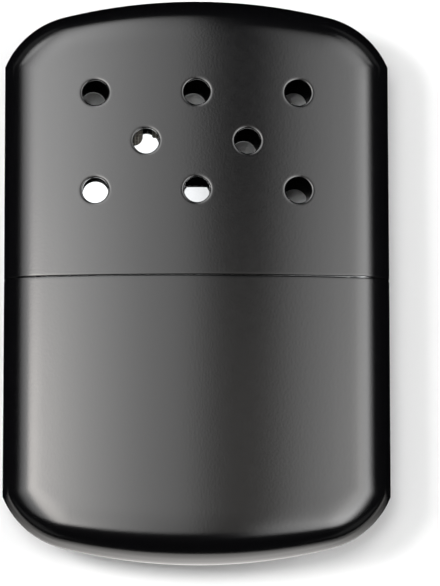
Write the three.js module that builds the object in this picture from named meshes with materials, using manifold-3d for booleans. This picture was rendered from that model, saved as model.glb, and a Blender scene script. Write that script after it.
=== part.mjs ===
// Catalytic pocket hand warmer, lying on its back.
// X runs across the case, +Y from the fuel tank towards the vented lid, +Z up through the front face.
// The origin is under the middle of the case, on the surface it lies on. Sizes are in millimetres.
// The seam between lid and tank is at y = 0. Shapes are made about the case's middle plane, z = 0,
// and the whole group is then lifted by half the thickness.

import * as THREE from 'three';
import { mergeVertices } from 'three/addons/utils/BufferGeometryUtils.js';
import Module from 'manifold-3d';

const wasm = await Module();
wasm.setup();

// Case: a flat flask with crowned faces and rolled edges, cut in two by the seam
const CASE_WIDTH = 66.8;
const CASE_THICKNESS = 12.7;
const LID_LENGTH = 49.5;
const TANK_LENGTH = 49.5;
const CASE_WALL = 0.6;
const CROWN_RADIUS = 186;
const CROWN_LAND = 5.5;
const EDGE_ROLL = 0.82;
const END_RADIUS = 95.4;
const CORNER_RADIUS = 15;
const CORNER_INSET = 13.9;
const SEAM_GAP = 0.3;
const RIM_CHAMFER = 0.25;

// Vents, straight through the front and back of the lid in rows of three, two and three
const VENT_DIAMETER = 4.6;
const VENT_COLUMN_PITCH = 17.6;
const VENT_ROW_PITCH = 8.6;
const VENT_FIRST_ROW = 15;

// Plated sleeve that the lid slides over, with the deck that closes the tank
const LID_FIT = 0.3;
const SLEEVE_WALL = 0.5;
const SLEEVE_RISE = 9;
const SLEEVE_SEAT = 5;
const DECK_EDGE_RADIUS = 0.6;

// Burner: an oblong skirt pushed over the mouthpiece, and a narrower windowed hood above it
const BURNER_X = -11.5;
const BURNER_THICKNESS = 6.4;
const BURNER_SHEET = 0.4;
const BURNER_CORNER = 1.3;
const LEAST_CORNER = 0.3;
const SKIRT_WIDTH = 30.6;
const SHOULDER_HEIGHT = 15.9;
const HOOD_WIDTH = 18.2;
const HOOD_TOP = 29.5;
const HOOD_EDGE_RADIUS = 0.8;
const BURNER_LIFT_GAP = 0.3;

// Hood windows, the same on both faces: one between the posts and one on each side
const POST_OFFSET = 2.9;
const POST_WIDTH = 1.6;
const HOOD_FRAME = 1.2;
const WINDOW_TOP = 28;
const MIDDLE_WINDOW_SILL = 23.2;
const SIDE_WINDOW_SILL = 24.6;
const MIDDLE_WINDOW_RADIUS = 1.6;
const SIDE_WINDOW_RADIUS = 0.35;
const TOP_SLOT_DEPTH = 3.2;

// Mouthpiece that the fuel is poured through
const BURNER_FIT = 0.3;
const MOUTH_WALL = 0.4;
const MOUTH_RISE = 5;
const MOUTH_DROP = 5;
const MOUTH_FLANGE = 0.5;
const MOUTH_FLANGE_THICKNESS = 0.5;

// Pieces held inside
const LOOSE_FIT = 0.3;
const WADDING_TOP = 1.2;
const WICK_HEIGHT = 5;
const SCREEN_THICKNESS = 0.3;
const SCREEN_END_GAP = 0.7;
const GRATE_HEIGHT = 20.5;
const GRATE_THICKNESS = 0.4;
const GRATE_HOLE = 1.6;
const GRATE_HOLE_PITCH = 2.6;
const GRATE_HOLES = 6;

// How finely the curves are divided
const FACE_FACETS = 11;
const ROLL_STEPS = 5;
const END_RINGS = 7;
const CORNER_RINGS = 4;
const ARC_STEPS = 4;
const HOLE_SIDES = 24;
const CUT_MARGIN = 1;

// Finishes
const FINISHES = {
  black_enamel: { color: 0x2b2c2d, roughness: 0.42, metalness: 0.1 },
  bright_chrome: { color: 0xd8dadc, roughness: 0.12, metalness: 1 },
  steel_gauze: { color: 0x6e6c68, roughness: 0.5, metalness: 0.9 },
  glass_fibre: { color: 0x9a968e, roughness: 0.95, metalness: 0 },
  cotton: { color: 0xece8dd, roughness: 1, metalness: 0 },
  wool_felt: { color: 0xd9d3c4, roughness: 1, metalness: 0 },
};

const HALF_WIDTH = CASE_WIDTH / 2;
const HALF_THICKNESS = CASE_THICKNESS / 2;
const CORNER_X = HALF_WIDTH - CORNER_INSET;
const CORNER_DEPTH = END_RADIUS - Math.sqrt((END_RADIUS - CORNER_RADIUS) ** 2 - CORNER_X ** 2);

// Half the case's thickness on the line x, away from the rolled edge
function crownHeight(x) {
  const beyondLand = Math.max(x * x - (CROWN_LAND / 2) ** 2, 0);
  return HALF_THICKNESS - beyondLand / (2 * CROWN_RADIUS);
}

// How far inside the plan outline a point lies; depth is measured from the nearer end's apex
function edgeDistance(x, depth) {
  const across = Math.abs(x);
  const toSide = HALF_WIDTH - across;
  const inEndArc = across * (END_RADIUS - CORNER_DEPTH) < CORNER_X * (END_RADIUS - depth);
  if (inEndArc) {
    return Math.min(toSide, END_RADIUS - Math.hypot(across, END_RADIUS - depth));
  }
  if (depth < CORNER_DEPTH) {
    return Math.min(toSide, CORNER_RADIUS - Math.hypot(across - CORNER_X, CORNER_DEPTH - depth));
  }
  return toSide;
}

// Half the width of the outline, drawn in by inset, at a depth from the end's apex
function halfWidthAt(depth, inset) {
  const endRadius = END_RADIUS - inset;
  const cornerRadius = CORNER_RADIUS - inset;
  const cosine = (END_RADIUS - CORNER_DEPTH) / (END_RADIUS - CORNER_RADIUS);
  const tangentDepth = END_RADIUS - endRadius * cosine;
  if (depth < tangentDepth) {
    return Math.sqrt(Math.max(endRadius ** 2 - (END_RADIUS - depth) ** 2, 0));
  }
  const fromCentre = Math.max(CORNER_DEPTH - depth, 0);
  const onCorner = CORNER_X + Math.sqrt(cornerRadius ** 2 - fromCentre ** 2);
  return Math.min(onCorner, HALF_WIDTH - inset);
}

// Depth at which the corner arc runs into the straight side
function straightDepth(inset) {
  return CORNER_DEPTH - Math.sqrt((CORNER_RADIUS - inset) ** 2 - (CORNER_INSET - inset) ** 2);
}

// Half the thickness of the case surface, drawn in by inset, with its rolled edge
function surfaceHeight(x, depth, inset) {
  const crown = crownHeight(x);
  const roll = EDGE_ROLL * crown - inset;
  const share = THREE.MathUtils.clamp((edgeDistance(x, depth) - inset) / roll, 0, 1);
  return (crown - inset) * Math.sqrt(1 - (1 - share) ** 2);
}

// Places across a section: close together on the rolled edges, even across the face
function acrossSection(halfWidth) {
  const roll = Math.min(EDGE_ROLL * crownHeight(HALF_WIDTH), halfWidth / 2);
  const places = [];
  for (let i = 0; i <= ROLL_STEPS; i += 1) {
    const turn = (i / ROLL_STEPS) * (Math.PI / 2);
    places.push(halfWidth - roll * (1 - Math.cos(turn)));
  }
  const face = [];
  for (let i = 1; i < FACE_FACETS; i += 1) {
    face.push((halfWidth - roll) * (1 - (2 * i) / FACE_FACETS));
  }
  const mirrored = places.map((place) => -place).reverse();
  return [...places, ...face, ...mirrored];
}

// One closed section of the case at y, drawn in by inset: a single point at the apex of an end
function caseRing(y, inset) {
  const depth = y > 0 ? LID_LENGTH - y : TANK_LENGTH + y;
  const halfWidth = halfWidthAt(depth, inset);
  if (depth <= inset || halfWidth === 0) {
    return [new THREE.Vector3(0, y, 0)];
  }
  const places = acrossSection(halfWidth);
  const last = places.length - 1;
  const ring = places.map((x, i) => {
    const height = i === 0 || i === last ? 0 : surfaceHeight(x, depth, inset);
    return new THREE.Vector3(x, y, height);
  });
  for (let i = last - 1; i > 0; i -= 1) {
    ring.push(new THREE.Vector3(places[i], y, -ring[i].z));
  }
  return ring;
}

// Depths of the rings that shape one rounded end, from its apex to the straight sides
function endDepths(inset) {
  const roll = EDGE_ROLL * HALF_THICKNESS - inset;
  const depths = [inset];
  for (let i = 1; i <= END_RINGS; i += 1) {
    depths.push(inset + roll * (1 - Math.cos(((i / END_RINGS) * Math.PI) / 2)));
  }
  const shoulder = inset + roll;
  for (let i = 1; i <= CORNER_RINGS; i += 1) {
    depths.push(THREE.MathUtils.lerp(shoulder, straightDepth(inset), i / CORNER_RINGS));
  }
  return depths;
}

// Maker of rings for an oblong with round corners, centred on the burner. Drawn in by inset, its
// corners tighten to the least corner and no further.
function oblong(width, thickness, corner) {
  return (y, inset) => {
    const radius = Math.max(corner - inset, LEAST_CORNER);
    const cornerX = width / 2 - inset - radius;
    const cornerZ = thickness / 2 - inset - radius;
    const ring = [];
    for (let quarter = 0; quarter < 4; quarter += 1) {
      const signX = quarter === 0 || quarter === 3 ? 1 : -1;
      const signZ = quarter < 2 ? 1 : -1;
      for (let i = 0; i <= ARC_STEPS; i += 1) {
        const turn = (quarter + i / ARC_STEPS) * (Math.PI / 2);
        const x = BURNER_X + signX * cornerX + radius * Math.cos(turn);
        ring.push(new THREE.Vector3(x, y, signZ * cornerZ + radius * Math.sin(turn)));
      }
    }
    return ring;
  };
}

// Closed solid through rings given as [y, inset] stations in rising y
function loft(ringAt, stations) {
  const positions = [];
  const index = [];
  const rings = stations.map(([y, inset]) => {
    const points = ringAt(y, inset);
    const first = positions.length / 3;
    points.forEach((point) => positions.push(point.x, point.y, point.z));
    return { first, count: points.length };
  });
  const cap = (ring, y, up) => {
    if (ring.count === 1) {
      return;
    }
    const middle = new THREE.Vector3();
    for (let i = 0; i < ring.count; i += 1) {
      const at = 3 * (ring.first + i);
      middle.add(new THREE.Vector3(positions[at], 0, positions[at + 2]));
    }
    middle.divideScalar(ring.count);
    const centre = positions.length / 3;
    positions.push(middle.x, y, middle.z);
    for (let i = 0; i < ring.count; i += 1) {
      const here = ring.first + i;
      const next = ring.first + ((i + 1) % ring.count);
      index.push(...(up ? [centre, next, here] : [centre, here, next]));
    }
  };
  cap(rings[0], stations[0][0], false);
  for (let row = 1; row < rings.length; row += 1) {
    const below = rings[row - 1];
    const above = rings[row];
    const count = Math.max(below.count, above.count);
    for (let i = 0; i < count; i += 1) {
      const next = (i + 1) % count;
      const lowHere = below.first + (i % below.count);
      const lowNext = below.first + (next % below.count);
      const highHere = above.first + (i % above.count);
      const highNext = above.first + (next % above.count);
      if (lowHere !== lowNext) {
        index.push(lowHere, highNext, lowNext);
      }
      if (highHere !== highNext) {
        index.push(lowHere, highHere, highNext);
      }
    }
  }
  const top = rings.length - 1;
  cap(rings[top], stations[top][0], true);
  const geometry = new THREE.BufferGeometry();
  geometry.setAttribute('position', new THREE.Float32BufferAttribute(positions, 3));
  geometry.setIndex(index);
  return solid(geometry);
}

// A closed geometry as a solid that can be cut and joined
function solid(geometry) {
  const bare = geometry.clone();
  bare.deleteAttribute('normal');
  bare.deleteAttribute('uv');
  const merged = mergeVertices(bare, 1e-4);
  const mesh = new wasm.Mesh({
    numProp: 3,
    vertProperties: new Float32Array(merged.attributes.position.array),
    triVerts: new Uint32Array(merged.index.array),
  });
  return new wasm.Manifold(mesh);
}

// Box between two corners
function box(low, high) {
  const size = new THREE.Vector3().subVectors(high, low);
  const geometry = new THREE.BoxGeometry(size.x, size.y, size.z);
  geometry.translate((low.x + high.x) / 2, (low.y + high.y) / 2, (low.z + high.z) / 2);
  return solid(geometry);
}

// Round bar along z through the whole case
function crossBar(x, y, diameter) {
  const length = CASE_THICKNESS + 2 * CUT_MARGIN;
  const geometry = new THREE.CylinderGeometry(diameter / 2, diameter / 2, length, HOLE_SIDES);
  geometry.rotateX(Math.PI / 2);
  geometry.translate(x, y, 0);
  return solid(geometry);
}

// Upright window with round lower corners, as a bar along z through the whole burner
function windowBar(left, right, sill, top, radius) {
  const shape = new THREE.Shape();
  shape.moveTo(left, top);
  shape.lineTo(left, sill + radius);
  shape.absarc(left + radius, sill + radius, radius, Math.PI, 1.5 * Math.PI, false);
  shape.lineTo(right - radius, sill);
  shape.absarc(right - radius, sill + radius, radius, -Math.PI / 2, 0, false);
  shape.lineTo(right, top);
  shape.closePath();
  const depth = BURNER_THICKNESS + 2 * CUT_MARGIN;
  const geometry = new THREE.ExtrudeGeometry(shape, { depth, bevelEnabled: false, curveSegments: 5 });
  geometry.translate(0, 0, -depth / 2);
  return solid(geometry);
}

// Named piece of the model in its finish
function mesh(name, body, finish) {
  const data = body.getMesh();
  const geometry = new THREE.BufferGeometry();
  geometry.setAttribute('position', new THREE.BufferAttribute(new Float32Array(data.vertProperties), 3));
  geometry.setIndex(new THREE.BufferAttribute(new Uint32Array(data.triVerts), 1));
  geometry.computeVertexNormals();
  const result = new THREE.Mesh(geometry, new THREE.MeshStandardMaterial(FINISHES[finish]));
  result.name = name;
  return result;
}

// Stations of the lid's surface, from the seam at rim height up to the apex
function lidStations(inset, rim) {
  const stations = endDepths(inset).map((depth) => [LID_LENGTH - depth, inset]).reverse();
  return [...rim, ...stations];
}

function lidShell() {
  const rim = SEAM_GAP / 2;
  const outside = loft(caseRing, lidStations(0, [[rim, RIM_CHAMFER], [rim + RIM_CHAMFER, 0]]));
  const inside = loft(caseRing, lidStations(CASE_WALL, [[-CUT_MARGIN, CASE_WALL]]));
  let shell = outside.subtract(inside);
  for (let row = 0; row < 3; row += 1) {
    const columns = row === 1 ? [-0.5, 0.5] : [-1, 0, 1];
    for (const column of columns) {
      const y = VENT_FIRST_ROW + row * VENT_ROW_PITCH;
      shell = shell.subtract(crossBar(column * VENT_COLUMN_PITCH, y, VENT_DIAMETER));
    }
  }
  return shell;
}

// Stations of the tank's surface, from its apex up to a rim
function tankStations(inset, rim) {
  const stations = endDepths(inset).map((depth) => [depth - TANK_LENGTH, inset]);
  return [...stations, ...rim];
}

function tankShell() {
  const rim = -SEAM_GAP / 2;
  const outside = loft(caseRing, tankStations(0, [[rim - RIM_CHAMFER, 0], [rim, RIM_CHAMFER]]));
  const inside = loft(caseRing, tankStations(CASE_WALL, [[CUT_MARGIN, CASE_WALL]]));
  return outside.subtract(inside);
}

const SLEEVE_INSET = CASE_WALL + LID_FIT;
const SLEEVE_INNER_INSET = SLEEVE_INSET + SLEEVE_WALL;

// Stations that round over the top edge of a case section at y
function roundedTop(y, inset, radius) {
  const stations = [];
  for (let i = 0; i <= ARC_STEPS; i += 1) {
    const turn = ((i / ARC_STEPS) * Math.PI) / 2;
    stations.push([y - radius * (1 - Math.sin(turn)), inset + radius * (1 - Math.cos(turn))]);
  }
  return stations;
}

// Outlines that the burner and the mouthpiece share
const skirtOutline = oblong(SKIRT_WIDTH, BURNER_THICKNESS, BURNER_CORNER);
const hoodOutline = oblong(HOOD_WIDTH, BURNER_THICKNESS, BURNER_CORNER);
const MOUTH_INSET = BURNER_SHEET + BURNER_FIT;
const MOUTH_INNER_INSET = MOUTH_INSET + MOUTH_WALL;
const MOUTH_BOTTOM = SLEEVE_RISE - MOUTH_DROP;
const SKIRT_BOTTOM = SLEEVE_RISE + MOUTH_FLANGE_THICKNESS + BURNER_LIFT_GAP;

function neckSleeve() {
  const top = roundedTop(SLEEVE_RISE, SLEEVE_INSET, DECK_EDGE_RADIUS);
  const outside = loft(caseRing, [[-SLEEVE_SEAT, SLEEVE_INSET], ...top]);
  const under = SLEEVE_RISE - SLEEVE_WALL;
  const inside = loft(caseRing, [[-SLEEVE_SEAT - CUT_MARGIN, SLEEVE_INNER_INSET], [under, SLEEVE_INNER_INSET]]);
  const mouthInset = MOUTH_INSET - LOOSE_FIT;
  const mouthHole = loft(skirtOutline, [[under - CUT_MARGIN, mouthInset], [SLEEVE_RISE + CUT_MARGIN, mouthInset]]);
  return outside.subtract(inside).subtract(mouthHole);
}

function mouthpiece() {
  const flangeTop = SLEEVE_RISE + MOUTH_FLANGE_THICKNESS;
  const lip = flangeTop + MOUTH_RISE;
  const tube = loft(skirtOutline, [[MOUTH_BOTTOM, MOUTH_INSET], [lip, MOUTH_INSET]]);
  const flangeInset = MOUTH_INSET - LOOSE_FIT - MOUTH_FLANGE;
  const flange = loft(skirtOutline, [[SLEEVE_RISE, flangeInset], [flangeTop, flangeInset]]);
  const bore = loft(skirtOutline, [
    [MOUTH_BOTTOM - CUT_MARGIN, MOUTH_INNER_INSET],
    [lip + CUT_MARGIN, MOUTH_INNER_INSET],
  ]);
  return tube.add(flange).subtract(bore);
}

function cottonWadding() {
  const belowSleeve = -SLEEVE_SEAT - LOOSE_FIT;
  const wide = CASE_WALL + LOOSE_FIT;
  const narrow = SLEEVE_INNER_INSET + LOOSE_FIT;
  const rim = [[belowSleeve, wide], [belowSleeve, narrow], [WADDING_TOP, narrow]];
  return loft(caseRing, tankStations(wide, rim));
}

function feltWick() {
  const inset = MOUTH_INNER_INSET + LOOSE_FIT;
  return loft(skirtOutline, [[WADDING_TOP, inset], [WADDING_TOP + WICK_HEIGHT, inset]]);
}

function burnerHousing() {
  const skirtTop = roundedTop(SHOULDER_HEIGHT, 0, HOOD_EDGE_RADIUS);
  const hoodTop = roundedTop(HOOD_TOP, 0, HOOD_EDGE_RADIUS);
  const skirt = loft(skirtOutline, [[SKIRT_BOTTOM, 0], ...skirtTop]);
  const hood = loft(hoodOutline, [[SKIRT_BOTTOM, 0], ...hoodTop]);
  const skirtInside = loft(skirtOutline, [
    [SKIRT_BOTTOM - CUT_MARGIN, BURNER_SHEET],
    [SHOULDER_HEIGHT - BURNER_SHEET, BURNER_SHEET],
  ]);
  const hoodInside = loft(hoodOutline, [
    [SKIRT_BOTTOM, BURNER_SHEET],
    [HOOD_TOP - BURNER_SHEET, BURNER_SHEET],
  ]);
  let housing = skirt.add(hood).subtract(skirtInside.add(hoodInside));
  const post = POST_WIDTH / 2;
  const inner = POST_OFFSET + post;
  const outer = HOOD_WIDTH / 2 - HOOD_FRAME;
  const windows = [
    { from: -outer, to: -inner, sill: SIDE_WINDOW_SILL, radius: SIDE_WINDOW_RADIUS },
    { from: post - POST_OFFSET, to: POST_OFFSET - post, sill: MIDDLE_WINDOW_SILL, radius: MIDDLE_WINDOW_RADIUS },
    { from: inner, to: outer, sill: SIDE_WINDOW_SILL, radius: SIDE_WINDOW_RADIUS },
  ];
  for (const { from, to, sill, radius } of windows) {
    const left = BURNER_X + from;
    const right = BURNER_X + to;
    housing = housing.subtract(windowBar(left, right, sill, WINDOW_TOP, radius));
    housing = housing.subtract(box(
      new THREE.Vector3(left, HOOD_TOP - BURNER_SHEET - CUT_MARGIN, -TOP_SLOT_DEPTH / 2),
      new THREE.Vector3(right, HOOD_TOP + CUT_MARGIN, TOP_SLOT_DEPTH / 2),
    ));
  }
  return housing;
}

// The gauze lies inside the hood, folded over the pad like a saddle
const SCREEN_TOP = HOOD_TOP - BURNER_SHEET - LOOSE_FIT;
const SCREEN_HALF_DEPTH = BURNER_THICKNESS / 2 - BURNER_SHEET - LOOSE_FIT;
const SCREEN_HALF_WIDTH = HOOD_WIDTH / 2 - BURNER_SHEET - SCREEN_END_GAP;
const GRATE_TOP = GRATE_HEIGHT + GRATE_THICKNESS;
const PAD_BOTTOM = GRATE_TOP + LOOSE_FIT;

function wireScreen() {
  const inner = SCREEN_HALF_DEPTH - SCREEN_THICKNESS;
  const outside = box(
    new THREE.Vector3(BURNER_X - SCREEN_HALF_WIDTH, PAD_BOTTOM, -SCREEN_HALF_DEPTH),
    new THREE.Vector3(BURNER_X + SCREEN_HALF_WIDTH, SCREEN_TOP, SCREEN_HALF_DEPTH),
  );
  const inside = box(
    new THREE.Vector3(BURNER_X - HOOD_WIDTH, PAD_BOTTOM - CUT_MARGIN, -inner),
    new THREE.Vector3(BURNER_X + HOOD_WIDTH, SCREEN_TOP - SCREEN_THICKNESS, inner),
  );
  return outside.subtract(inside);
}

function catalystPad() {
  const thickness = 2 * (SCREEN_HALF_DEPTH - SCREEN_THICKNESS - LOOSE_FIT);
  const outline = oblong(2 * SCREEN_HALF_WIDTH, thickness, BURNER_CORNER);
  return loft(outline, [[PAD_BOTTOM, 0], [SCREEN_TOP - SCREEN_THICKNESS - LOOSE_FIT, 0]]);
}

function padGrate() {
  const inset = BURNER_SHEET + LOOSE_FIT;
  let grate = loft(hoodOutline, [[GRATE_HEIGHT, inset], [GRATE_TOP, inset]]);
  for (let i = 0; i < GRATE_HOLES; i += 1) {
    const hole = new THREE.CylinderGeometry(GRATE_HOLE / 2, GRATE_HOLE / 2, 2 * CUT_MARGIN, HOLE_SIDES / 2);
    hole.translate(BURNER_X + (i - (GRATE_HOLES - 1) / 2) * GRATE_HOLE_PITCH, GRATE_HEIGHT, 0);
    grate = grate.subtract(solid(hole));
  }
  return grate;
}

const handWarmer = new THREE.Group();
handWarmer.position.z = HALF_THICKNESS;

handWarmer.add(
  mesh('lid_shell', lidShell(), 'black_enamel'),
  mesh('tank_shell', tankShell(), 'black_enamel'),
  mesh('neck_sleeve', neckSleeve(), 'bright_chrome'),
  mesh('mouthpiece', mouthpiece(), 'bright_chrome'),
  mesh('cotton_wadding', cottonWadding(), 'cotton'),
  mesh('felt_wick', feltWick(), 'wool_felt'),
  mesh('burner_housing', burnerHousing(), 'bright_chrome'),
  mesh('wire_screen', wireScreen(), 'steel_gauze'),
  mesh('catalyst_pad', catalystPad(), 'glass_fibre'),
  mesh('pad_grate', padGrate(), 'bright_chrome'),
);

export default handWarmer;
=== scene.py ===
"""Catalytic pocket hand warmer, lying on its back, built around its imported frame.

X runs across the case, +Y towards the vented lid, +Z up through the front face. Sizes are in metres.
"""

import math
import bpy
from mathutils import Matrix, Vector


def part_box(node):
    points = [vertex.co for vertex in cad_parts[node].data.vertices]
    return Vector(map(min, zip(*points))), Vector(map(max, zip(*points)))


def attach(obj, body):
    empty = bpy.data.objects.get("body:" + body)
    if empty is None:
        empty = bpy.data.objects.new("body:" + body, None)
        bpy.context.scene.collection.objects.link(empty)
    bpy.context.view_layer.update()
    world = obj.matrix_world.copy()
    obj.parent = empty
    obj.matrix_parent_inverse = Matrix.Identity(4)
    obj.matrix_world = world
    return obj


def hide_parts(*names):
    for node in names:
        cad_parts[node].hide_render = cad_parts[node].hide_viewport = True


bl_info = {
    "name": "Pocket Hand Warmer",
    "version": (1, 0, 0),
    "blender": (4, 5, 0),
    "location": "View3D > Sidebar > Hand Warmer",
    "description": "Makes a vented pocket hand warmer and the table it is photographed on",
    "category": "Add Mesh",
}

from contextlib import contextmanager
from functools import partial

import bmesh
import bpy
from bpy.props import FloatProperty, FloatVectorProperty, IntProperty, PointerProperty
from mathutils import Matrix, Vector, noise

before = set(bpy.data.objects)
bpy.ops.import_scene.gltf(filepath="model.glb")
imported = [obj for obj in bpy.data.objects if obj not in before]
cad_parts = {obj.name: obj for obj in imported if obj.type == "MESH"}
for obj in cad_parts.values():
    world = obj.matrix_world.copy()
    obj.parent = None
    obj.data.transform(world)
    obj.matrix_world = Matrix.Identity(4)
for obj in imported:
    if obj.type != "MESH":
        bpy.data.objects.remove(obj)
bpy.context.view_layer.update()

MM = 0.001
NEAR = MM / 1000  # Points closer than this lie in one place
BURNER_LOW, BURNER_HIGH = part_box("burner_housing")
MOUTH_LOW, MOUTH_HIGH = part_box("mouthpiece")
SLEEVE_LOW, SLEEVE_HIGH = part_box("neck_sleeve")
GRATE_LOW, GRATE_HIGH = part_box("pad_grate")


def linear(hex_colour):
    """Linear colour of an sRGB hex value."""
    channels = [int(hex_colour[i : i + 2], 16) / 255 for i in (0, 2, 4)]
    return [c / 12.92 if c <= 0.04045 else ((c + 0.055) / 1.055) ** 2.4 for c in channels]


def length(name, millimetres, description):
    """Property for a length, given in millimetres."""
    return FloatProperty(
        name=name, description=description, default=millimetres * MM, min=0, precision=5, unit="LENGTH"
    )


def share(name, default, description, high):
    """Property for a plain share."""
    return FloatProperty(name=name, description=description, default=default, min=0, max=high)


def count(name, default, description):
    """Property for a number of copies or divisions."""
    return IntProperty(name=name, description=description, default=default, min=1, max=400)


def colour(name, hex_colour, description):
    """Property for a colour, given as an sRGB hex value."""
    return FloatVectorProperty(
        name=name, description=description, default=linear(hex_colour), min=0, max=1, subtype="COLOR"
    )


class CaseSizes(bpy.types.PropertyGroup):
    """Sizes of the flat flask that the lid and the tank share."""

    width: length("Width", 66.8, "Across the case")
    thickness: length("Thickness", 12.7, "Front to back at the middle")
    lid_length: length("Lid length", 49.5, "From the seam to the lid's top")
    tank_length: length("Tank length", 49.5, "From the seam to the tank's bottom")
    wall: length("Sheet", 0.6, "Thickness of the drawn sheet")
    crown_radius: length("Crown radius", 186, "Curve of the faces from side to side")
    roll: share("Roll", 1.5, "Width of the rolled edge as a share of half the thickness", 3)
    roll_power: share("Roll power", 2.6, "How late the rolled edge turns down: 2 is a plain ellipse", 6)
    end_radius: length("End radius", 95.4, "Curve of the top and bottom ends")
    corner_radius: length("Corner radius", 15, "Curve of the corners")
    corner_inset: length("Corner inset", 13.9, "From the side to the centre of a corner's curve")
    seam_gap: length("Seam gap", 0.13, "Between the lid and the tank")
    rim_radius: length("Rim radius", 0.2, "Rounding of the sheet at the seam")
    rolled_rings: count("Rolled rings", 18, "Rings of faces across the rolled edge")
    rib_pitch: length("Rib pitch", 1.1, "Spacing of the lines that give the face its crown")


class VentSizes(bpy.types.PropertyGroup):
    """Sizes and places of the punched vents, the same on both faces."""

    diameter: length("Diameter", 4.5, "Bore of a vent")
    edge_width: length("Edge width", 0.52, "How far out the sheet starts to dip into a vent")
    edge_drop: length("Edge drop", 0.22, "How far the sheet dips")
    column_pitch: length("Column pitch", 17.6, "Across, between vents of a row")
    row_pitch: length("Row pitch", 8.6, "Along, between rows")
    first_row: length("First row", 15, "From the seam to the lowest row")
    sides: count("Sides", 64, "Divisions round a vent")
    back_shift: length("Back shift", 0.5, "How far left the vents of the back lie")


class NeckSizes(bpy.types.PropertyGroup):
    """Sizes of the plated sleeve and the mouthpiece."""

    sleeve_depth: length("Sleeve depth", 0.9, "From the case's outside to the sleeve's outside")
    sleeve_wall: length("Sleeve wall", 0.5, "Thickness of the sleeve's sheet")
    deck_radius: length("Deck radius", 0.6, "Rounding between the sleeve and its deck")
    mouth_hole_inset: length("Mouth hole inset", 0.4, "Hole in the deck, drawn in from the burner's outline")
    mouth_inset: length("Mouth inset", 0.7, "Mouthpiece, drawn in from the burner's outline")
    mouth_wall: length("Mouth wall", 0.4, "Thickness of the mouthpiece")
    flange: length("Flange", 0.8, "How far the flange stands out from the mouthpiece")
    flange_thickness: length("Flange thickness", 0.5, "Thickness of the flange")


class BurnerSizes(bpy.types.PropertyGroup):
    """Sizes of the burner's housing, gauze, pad and grate."""

    sheet: length("Sheet", 0.4, "Thickness of the plated sheet")
    corner: length("Corner", 0.9, "Rounding of the upright corners")
    fold: length("Fold", 0.3, "Rounding of the shoulder and the top")
    hood_width: length("Hood width", 18.5, "Across the windowed hood")
    shoulder: length("Shoulder", 16.2, "From the seam to the skirt's shoulder")
    post_offset: length("Post offset", 2.9, "From the hood's middle to the middle of a post")
    post_width: length("Post width", 1.6, "Width of a post between windows")
    hood_frame: length("Hood frame", 1.4, "Metal beside the outer windows")
    window_top: length("Window top", 28, "From the seam to the top of the windows")
    middle_sill: length("Middle sill", 23.2, "From the seam to the middle window's sill")
    side_sill: length("Side sill", 24.6, "From the seam to the side windows' sills")
    middle_radius: length("Middle radius", 1.6, "Rounding of the middle window's lower corners")
    side_radius: length("Side radius", 0.35, "Rounding of the side windows' lower corners")
    slot_depth: length("Slot depth", 3.2, "Front to back of the slots in the hood's top")
    wire: length("Wire", 0.14, "Diameter of the gauze's wire")
    wire_pitch: length("Wire pitch", 0.5, "Spacing of the gauze's wires")
    gauze_fold: length("Gauze fold", 0.7, "Bend of the gauze over the pad")
    grate_hole: length("Grate hole", 1.6, "Diameter of the grate's holes")
    grate_pitch: length("Grate pitch", 2.6, "Spacing of the grate's holes")
    grate_holes: count("Grate holes", 6, "Number of holes in the grate")


class FinishColours(bpy.types.PropertyGroup):
    """Colours of the finishes."""

    enamel: colour("Enamel", "060607", "Black enamel of the lid and the tank")
    plate: colour("Plate", "cbcdcf", "Bright plating")
    gauze: colour("Gauze", "8b8780", "Dull wire gauze")
    pad: colour("Pad", "86817a", "Glass-fibre pad")
    cotton: colour("Cotton", "efeade", "Packed cotton")
    felt: colour("Felt", "d9d3c4", "Wool felt")
    table: colour("Table", "f4f4f4", "White table")


def angle(name, degrees, description):
    """Property for an angle, given in degrees."""
    return FloatProperty(name=name, description=description, default=math.radians(degrees), subtype="ANGLE")


class StageSettings(bpy.types.PropertyGroup):
    """Place and view of the camera."""

    camera_distance: length("Camera distance", 829, "From the camera to the point it aims at")
    camera_tilt: angle("Tilt", 9.76, "From upright, towards the tank")
    camera_lean: angle("Lean", 0.85, "From upright, towards the left")
    camera_roll: angle("Roll", -0.03, "Turn of the picture")
    lens: FloatProperty(name="Lens", description="Focal length in millimetres", default=293.8, min=1)
    aim: FloatVectorProperty(
        name="Aim", description="Point that the camera looks at",
        default=(4.03 * MM, -2.12 * MM, 6.35 * MM), subtype="TRANSLATION", precision=5,
    )


def clear_selection():
    bpy.ops.object.select_all(action="DESELECT")


def choose(piece, *others):
    """Selects these pieces and nothing else, with the first of them active."""
    clear_selection()
    for item in (piece, *others):
        item.select_set(True)
    bpy.context.view_layer.objects.active = piece


def named(name):
    """Names the piece that was just added."""
    piece = bpy.context.object
    piece.name = name
    piece.data.name = name
    return piece


def start(name, add, **settings):
    """Starts a piece from a primitive, which is added with nothing else selected."""
    clear_selection()
    add(**settings)
    return named(name)


def everything():
    """Selects, in edit mode, the whole mesh."""
    bpy.ops.mesh.select_all(action="SELECT")


@contextmanager
def editing(piece):
    """Edit mode on one piece, with all of its mesh selected."""
    choose(piece)
    bpy.ops.object.mode_set(mode="EDIT")
    bpy.ops.mesh.select_mode(type="VERT")
    everything()
    yield
    bpy.ops.object.mode_set(mode="OBJECT")


def pick(kind, test):
    """Selects, in edit mode, only the vertices, edges or faces that pass the test."""
    bpy.ops.mesh.select_mode(type=kind)
    bpy.ops.mesh.select_all(action="DESELECT")
    mesh = bpy.context.object.data
    shape = bmesh.from_edit_mesh(mesh)
    group = {"VERT": shape.verts, "EDGE": shape.edges, "FACE": shape.faces}[kind]
    for item in group:
        if not item.hide and test(item):
            item.select_set(True)
    shape.select_flush_mode()
    bmesh.update_edit_mesh(mesh)


def move(x=0.0, y=0.0, z=0.0):
    bpy.ops.transform.translate(value=(x, y, z))


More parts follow.
